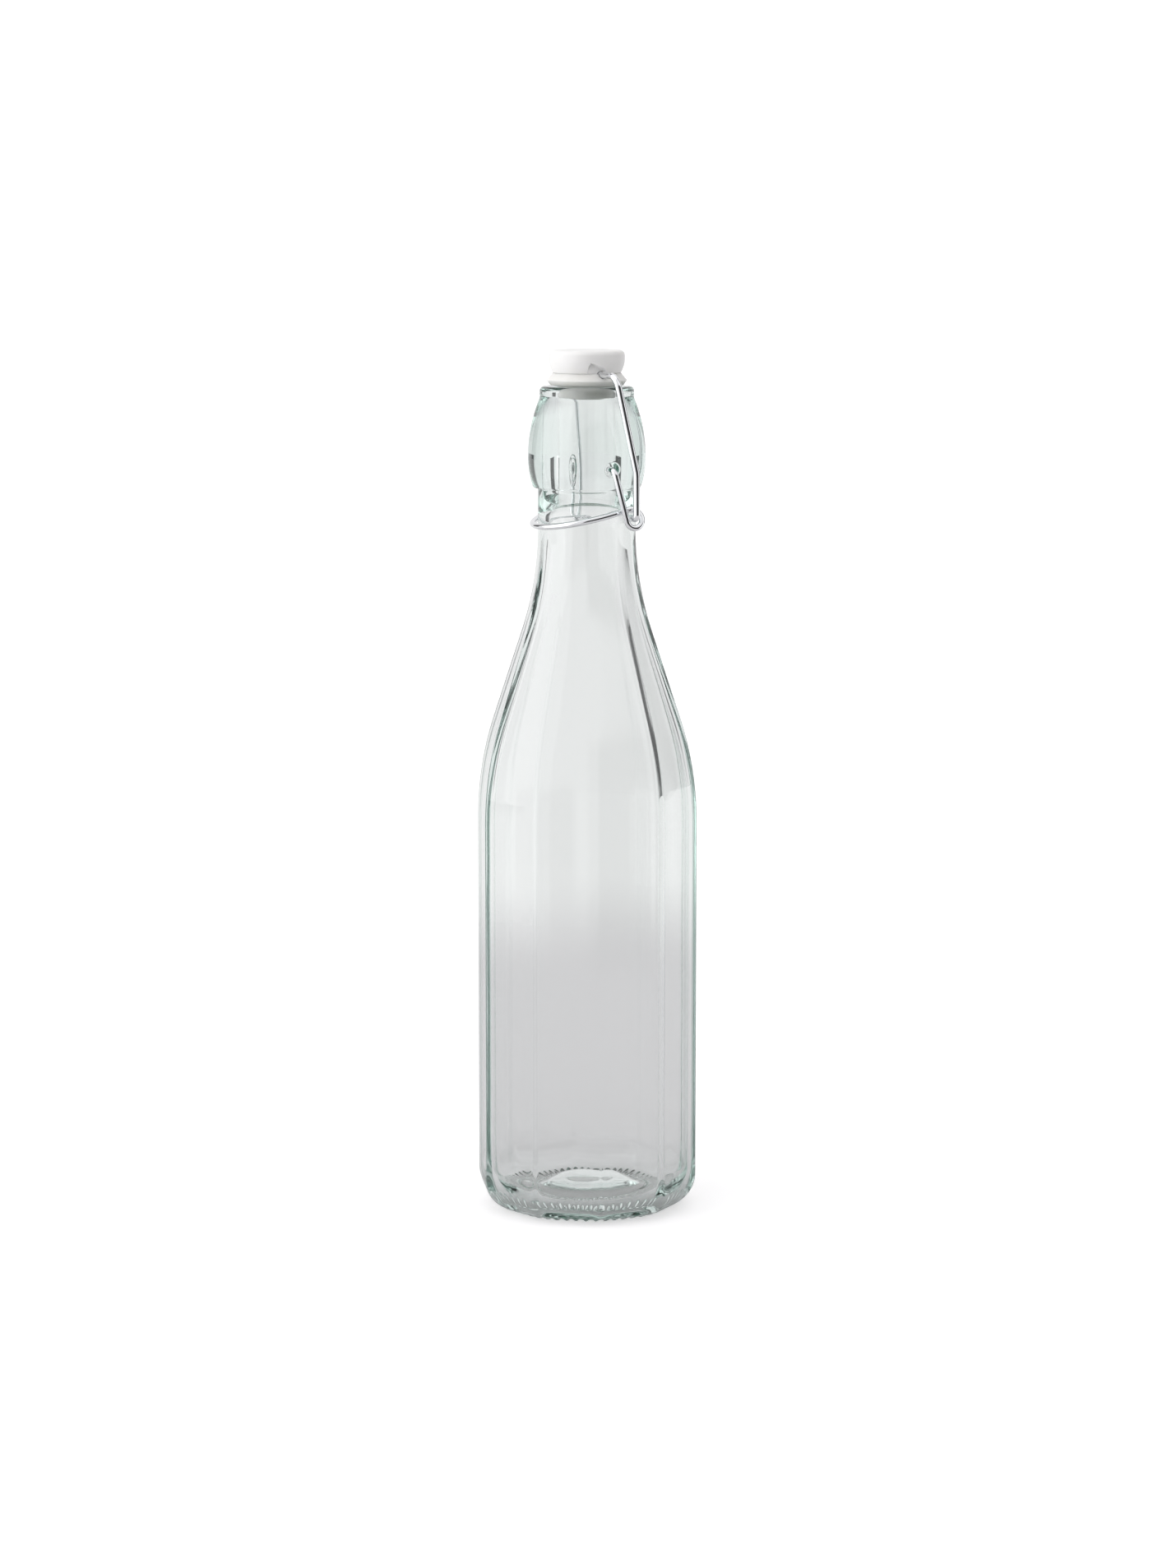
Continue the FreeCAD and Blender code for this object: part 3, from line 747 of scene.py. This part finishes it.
def drill_across(piece, radius):
    """Drills the stopper's cross hole along X through a piece."""
    drill = bmesh.new()
    bmesh.ops.create_cone(drill, cap_ends=True, segments=32, radius1=radius * MM, radius2=radius * MM,
                          depth=60 * MM)
    for vert in drill.verts:
        along = vert.co.z
        vert.co = Vector((along, vert.co.x + PIN.y * MM, vert.co.y + PIN.z * MM))
    bmesh.ops.recalc_face_normals(drill, faces=drill.faces)
    mesh = bpy.data.meshes.new("drill")
    drill.to_mesh(mesh)
    drill.free()
    tool = bpy.data.objects.new("drill", mesh)
    bpy.context.scene.collection.objects.link(tool)
    cut = piece.modifiers.new("hole", "BOOLEAN")
    cut.operation = "DIFFERENCE"
    cut.solver = "EXACT"
    cut.object = tool
    depsgraph = bpy.context.evaluated_depsgraph_get()
    drilled = bpy.data.meshes.new_from_object(piece.evaluated_get(depsgraph), depsgraph=depsgraph)
    piece.modifiers.clear()
    bpy.data.objects.remove(tool)
    drilled.name = piece.name
    piece.data = drilled


def keep_edges_crisp(piece, degrees):
    """Smooth shading, except over edges that are sharper than an angle."""
    shell = bmesh.new()
    shell.from_mesh(piece.data)
    for edge in shell.edges:
        edge.smooth = len(edge.link_faces) == 2 and edge.calc_face_angle() < math.radians(degrees)
    for face in shell.faces:
        face.smooth = True
    shell.to_mesh(piece.data)
    shell.free()


def moulded_polypropylene():
    """White moulded plastic: satin, a little light goes in, and it is a trifle warmer in patches."""
    material, tree = empty_material("moulded_polypropylene")
    place = node(tree, "ShaderNodeTexCoord").outputs["Object"]
    flow = node(tree, "ShaderNodeTexNoise", {"Vector": place, "Scale": 1 / (5 * MM), "Detail": 2.0})
    tone = node(tree, "ShaderNodeMix", {
        "Factor": flow.outputs[0], "A": linear("#efefee"), "B": linear("#f6f6f4")}, data_type="RGBA")
    grain = node(tree, "ShaderNodeTexNoise", {"Vector": place, "Scale": 1 / (0.35 * MM), "Detail": 2.0})
    relief = node(tree, "ShaderNodeBump", {
        "Height": grain.outputs[0], "Strength": 0.25, "Distance": 0.01 * MM})
    surface = node(tree, "ShaderNodeBsdfPrincipled", {
        "Base Color": tone.outputs["Result"], "Roughness": 0.38, "IOR": 1.49,
        "Subsurface Weight": 0.25, "Subsurface Radius": (1.0, 1.0, 0.9), "Subsurface Scale": 1.2 * MM,
        "Normal": relief.outputs[0]})
    node(tree, "ShaderNodeOutputMaterial", {"Surface": surface.outputs[0]})
    return material


stopper = grown("stopper", section_mesh("stopper_section", stopper_section()), turning, {
    "Columns": 360, "Panels": PANELS, "Material": moulded_polypropylene()})
press_notches(stopper)
face_outwards(stopper)
drill_across(stopper, HOLE_R)
keep_edges_crisp(stopper, 40)
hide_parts("stopper_cap")
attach(stopper, "stopper")

# =============================================================================== the gasket
# A moulded ring and plug of milky silicone rubber, pushed over the stopper's stem. Its rim
# seals on the top of the glass, and a slot at each side lets the bail through.

GASKET_Z = LIP_Z + 0.15
GASKET_R = BORE_R + 3.25
RIM_Z = HEAD_Z - 2.2
TOP_R = GASKET_R - 1.75
UNDER_R = GASKET_R - 1.0
UNDER_Z = GASKET_Z + 0.25
PLUG_R = BORE_R - 0.3
PLUG_EDGE_R = 0.6
SLOT_R = BAIL_WIRE_R + 0.08
SKIN_GAP = 0.03             # between the rubber and the stopper


def gasket_section():
    """Half section of the ring, all the way round it and back to its first point."""
    rows = []

    def point(r, z):
        rows.append(round_row(r, z))

    stem_r, hub_r = STEM_R + SKIN_GAP, HUB_R + SKIN_GAP
    hub_z, top_z = HUB_Z - SKIN_GAP, HEAD_Z - SKIN_GAP
    point(stem_r, STEM_Z)
    for r in spread(stem_r, PLUG_R - PLUG_EDGE_R, 3):
        point(r, STEM_Z)
    for r, z in round_edge(PLUG_R - PLUG_EDGE_R, STEM_Z + PLUG_EDGE_R, PLUG_EDGE_R, -90, 0, 8):
        point(r, z)
    for z in spread(STEM_Z + PLUG_EDGE_R, GASKET_Z - 0.3, 5):
        point(PLUG_R, z)
    for r, z in reversed(round_edge(PLUG_R + 0.3, GASKET_Z - 0.3, 0.3, 75, 180, 4)):
        point(r, z)
    for share in spread(0, 1, 4):
        point(PLUG_R + 0.3 + share * (UNDER_R - 0.2 - PLUG_R - 0.3), GASKET_Z + share * 0.22)
    for r, z in round_edge(UNDER_R - 0.1, UNDER_Z + 0.15, 0.2, -80, -30, 4):
        point(r, z)
    point(GASKET_R - 0.2, RIM_Z - 0.28)
    for r, z in round_edge(GASKET_R - 0.2, RIM_Z, 0.2, -36, 38, 6):
        point(r, z)
    point(TOP_R + 0.2, HEAD_Z - 0.28)
    for r, z in round_edge(TOP_R, HEAD_Z - 0.33, 0.3, 30, 90, 5):
        point(r, z)
    for r in spread(TOP_R, hub_r, 3):
        point(r, top_z)
    for z in spread(top_z, hub_z, 5):
        point(hub_r, z)
    for r in spread(hub_r, stem_r, 4):
        point(r, hub_z)
    for z in spread(hub_z, STEM_Z, 6):
        point(stem_r, z)
    return rows


def milky_silicone():
    """Uncoloured silicone rubber: cloudy, light spreads inside it, and its skin is dull."""
    material, tree = empty_material("milky_silicone")
    place = node(tree, "ShaderNodeTexCoord").outputs["Object"]
    clouds = node(tree, "ShaderNodeTexNoise", {"Vector": place, "Scale": 1 / (3 * MM), "Detail": 2.0})
    tone = node(tree, "ShaderNodeMix", {
        "Factor": clouds.outputs[0], "A": linear("#e8e8e2"), "B": linear("#f2f2ee")}, data_type="RGBA")
    surface = node(tree, "ShaderNodeBsdfPrincipled", {
        "Base Color": tone.outputs["Result"], "Roughness": 0.45, "IOR": 1.41,
        "Subsurface Weight": 0.8, "Subsurface Radius": (1.0, 1.0, 0.95), "Subsurface Scale": 2.5 * MM})
    node(tree, "ShaderNodeOutputMaterial", {"Surface": surface.outputs[0]})
    return material


gasket = grown("gasket_rubber", section_mesh("gasket_section", gasket_section()), turning, {
    "Columns": 240, "Panels": PANELS, "Material": milky_silicone()})
face_outwards(gasket)
drill_across(gasket, SLOT_R)
keep_edges_crisp(gasket, 40)
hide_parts("gasket")
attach(gasket, "stopper")

# ================================================================================ the studio
# A pale seamless floor that runs out to white in a light grey room, a tall softbox at each side
# and one overhead, and dark cards round the bottle that draw its edges.

CAMERA_AZIMUTH = 64.5       # degrees round from the handle's side, towards +X
azimuth = math.radians(CAMERA_AZIMUTH)
away = Vector((math.sin(azimuth), -math.cos(azimuth), 0))
right = Vector((math.cos(azimuth), math.sin(azimuth), 0))

ROOM = 0.92                 # light grey walls
ROOM_BURNT = 1.2            # as the camera sees them
FLOOR_R = 0.62              # the paper has faded out here, in metres
FLOOR_FADE = 0.24           # over this width
FLOOR_FAINTEST = 0.005      # share of the paper that is left outside
FLOOR_BEHIND = 2.6          # behind the bottle it runs on this far, in the walls' tone
BEHIND = (-0.05, -0.15)     # where that part begins
FLOOR_BURN = 0.48
UNDER_PAINTED_LIGHT = 0.3            # painted light: share of the burn put on the paper under the bottle, seen through the glass
# the painted pool of light under the bottle fades out between these distances from the axis, in metres
PAINTED_POOL_REACH = (0.03, 0.06)


def studio_floor():
    """Matt white paper. The camera sees it, like the room behind it, burnt out to white. Under the bottle it
    has a painted pool of light, seen only through the glass.
    """
    material, tree = empty_material("matt_white_paper")
    matt = node(tree, "ShaderNodeBsdfDiffuse", {"Color": linear("#dbdadb"), "Roughness": 0.0})
    burn = node(tree, "ShaderNodeEmission", {"Color": linear("#ffffff"), "Strength": FLOOR_BURN})
    both = node(tree, "ShaderNodeAddShader", {0: matt.outputs[0], 1: burn.outputs[0]})
    rays = node(tree, "ShaderNodeLightPath")
    place = node(tree, "ShaderNodeTexCoord").outputs["Object"]
    out = node(tree, "ShaderNodeVectorMath", {0: place}, operation="LENGTH").outputs["Value"]
    # Painted light: an emission on the paper under the bottle, seen only through the glass, stands in for
    # the light that a real base gathers there.
    pool_fade_under_bottle = node(tree, "ShaderNodeMapRange", {
        "Value": out, "From Min": PAINTED_POOL_REACH[0], "From Max": PAINTED_POOL_REACH[1],
        "To Min": UNDER_PAINTED_LIGHT, "To Max": 0.0}).outputs[0]
    painted_pool_seen = math_node(tree, "MULTIPLY", rays.outputs["Is Transmission Ray"], pool_fade_under_bottle)
    burn_or_painted_pool = math_node(tree, "MAXIMUM", rays.outputs["Is Camera Ray"], painted_pool_seen)
    seen = node(tree, "ShaderNodeMixShader", {"Fac": burn_or_painted_pool, 1: matt.outputs[0], 2: both.outputs[0]})
    fade = node(tree, "ShaderNodeMapRange", {
        "Value": out, "From Min": FLOOR_R - FLOOR_FADE, "From Max": FLOOR_R, "To Max": 1 - FLOOR_FAINTEST},
        interpolation_type="SMOOTHSTEP")
    wall_light = node(tree, "ShaderNodeMix", {
        "Factor": rays.outputs["Is Camera Ray"], "A": ROOM, "B": ROOM_BURNT}, data_type="FLOAT")
    wall = node(tree, "ShaderNodeEmission", {"Strength": wall_light.outputs["Result"]})
    clear = node(tree, "ShaderNodeBsdfTransparent")
    forward = node(tree, "ShaderNodeVectorMath", {0: place, 1: away}, operation="DOT_PRODUCT")
    behind = node(tree, "ShaderNodeMapRange", {
        "Value": forward.outputs["Value"], "From Min": BEHIND[0], "From Max": BEHIND[1]})
    gone = node(tree, "ShaderNodeMixShader", {
        "Fac": behind.outputs[0], 1: clear.outputs[0], 2: wall.outputs[0]})
    edge = node(tree, "ShaderNodeMixShader", {
        "Fac": fade.outputs[0], 1: seen.outputs[0], 2: gone.outputs[0]})
    node(tree, "ShaderNodeOutputMaterial", {"Surface": edge.outputs[0]})
    return material


floor_mesh = bpy.data.meshes.new("studio_floor")
corners = ((-FLOOR_BEHIND, FLOOR_R), (FLOOR_BEHIND, FLOOR_R),
           (FLOOR_BEHIND, -FLOOR_BEHIND), (-FLOOR_BEHIND, -FLOOR_BEHIND))
floor_mesh.from_pydata([right * x + away * y for x, y in corners], [], [(0, 1, 2, 3)])
floor = bpy.data.objects.new("studio_floor", floor_mesh)
floor.data.materials.append(studio_floor())
bpy.context.scene.collection.objects.link(floor)

# Softboxes and black flags round the set: middle and half width in degrees to the right of the
# camera, lowest and highest in degrees, softness of the edge in degrees, and brightness.
SET = (
    (34, 44, -60, 28, 10, 0.05),
    (-70, 38, -40, 60, 6, 1.75),
    (-128, 12, -60, 62, 5, 0.10),
    (82, 14, -40, 60, 8, 1.45),
    (112, 16, -60, 62, 5, 0.10),
    (0, 180, 62, 90, 8, 1.3),
)


def studio_world():
    """A light grey room with softboxes and flags. The camera itself sees it burnt out to white."""
    world = bpy.data.worlds.new("studio")
    world.use_nodes = True
    tree = world.node_tree
    tree.nodes.clear()
    looking = node(tree, "ShaderNodeTexCoord").outputs["Generated"]

    def calc(operation, *inputs):
        return math_node(tree, operation, *inputs)

    def along(direction):
        part = node(tree, "ShaderNodeVectorMath", {0: looking, 1: direction}, operation="DOT_PRODUCT")
        return part.outputs["Value"]

    turn = calc("ARCTAN2", along(right), along(away))
    height = calc("ARCSINE", along((0, 0, 1)))
    light = ROOM
    for middle, half, low, high, soft, brightness in SET:
        off = calc("WRAP", calc("SUBTRACT", turn, math.radians(middle)), math.pi, -math.pi)
        beside = calc("SUBTRACT", math.radians(half), calc("ABSOLUTE", off))
        off_middle = calc("SUBTRACT", height, math.radians((low + high) / 2))
        above = calc("SUBTRACT", math.radians((high - low) / 2), calc("ABSOLUTE", off_middle))
        cover = node(tree, "ShaderNodeMapRange", {
            "Value": calc("MINIMUM", beside, above), "From Min": 0.0, "From Max": math.radians(soft)},
            interpolation_type="SMOOTHSTEP").outputs[0]
        mixed = node(tree, "ShaderNodeMix", {
            "Factor": cover, "A": light, "B": brightness}, data_type="FLOAT")
        light = mixed.outputs["Result"]
    rays = node(tree, "ShaderNodeLightPath")
    seen = node(tree, "ShaderNodeMix", {
        "Factor": rays.outputs["Is Camera Ray"], "A": light, "B": ROOM_BURNT}, data_type="FLOAT")
    sky = node(tree, "ShaderNodeBackground", {
        "Color": linear("#fffeff"), "Strength": seen.outputs["Result"]})
    node(tree, "ShaderNodeOutputWorld", {"Surface": sky.outputs[0]})
    return world


bpy.context.scene.world = studio_world()
# Light goes a long way round inside a thick clear base and wall before it comes out.
bpy.context.scene.cycles.max_bounces = 48
bpy.context.scene.cycles.transmission_bounces = 48
bpy.context.scene.cycles.glossy_bounces = 24
bpy.context.scene.view_settings.view_transform = "Standard"

CAMERA_DISTANCE = 1200
CAMERA_HEIGHT = 311
CAMERA_PITCH = 8.436        # degrees down
CAMERA_ASIDE = 0.35         # the bottle stands this far left of the picture's middle

camera = bpy.data.cameras.new("camera")
camera.sensor_fit = "VERTICAL"
camera.sensor_height = 36
camera.lens = 89.72
camera_object = bpy.data.objects.new("camera", camera)
bpy.context.scene.collection.objects.link(camera_object)
camera_object.location = (away * CAMERA_DISTANCE + right * CAMERA_ASIDE + Vector((0, 0, CAMERA_HEIGHT))) * MM
camera_object.rotation_euler = (math.radians(90 - CAMERA_PITCH), 0, azimuth)
bpy.context.scene.camera = camera_object
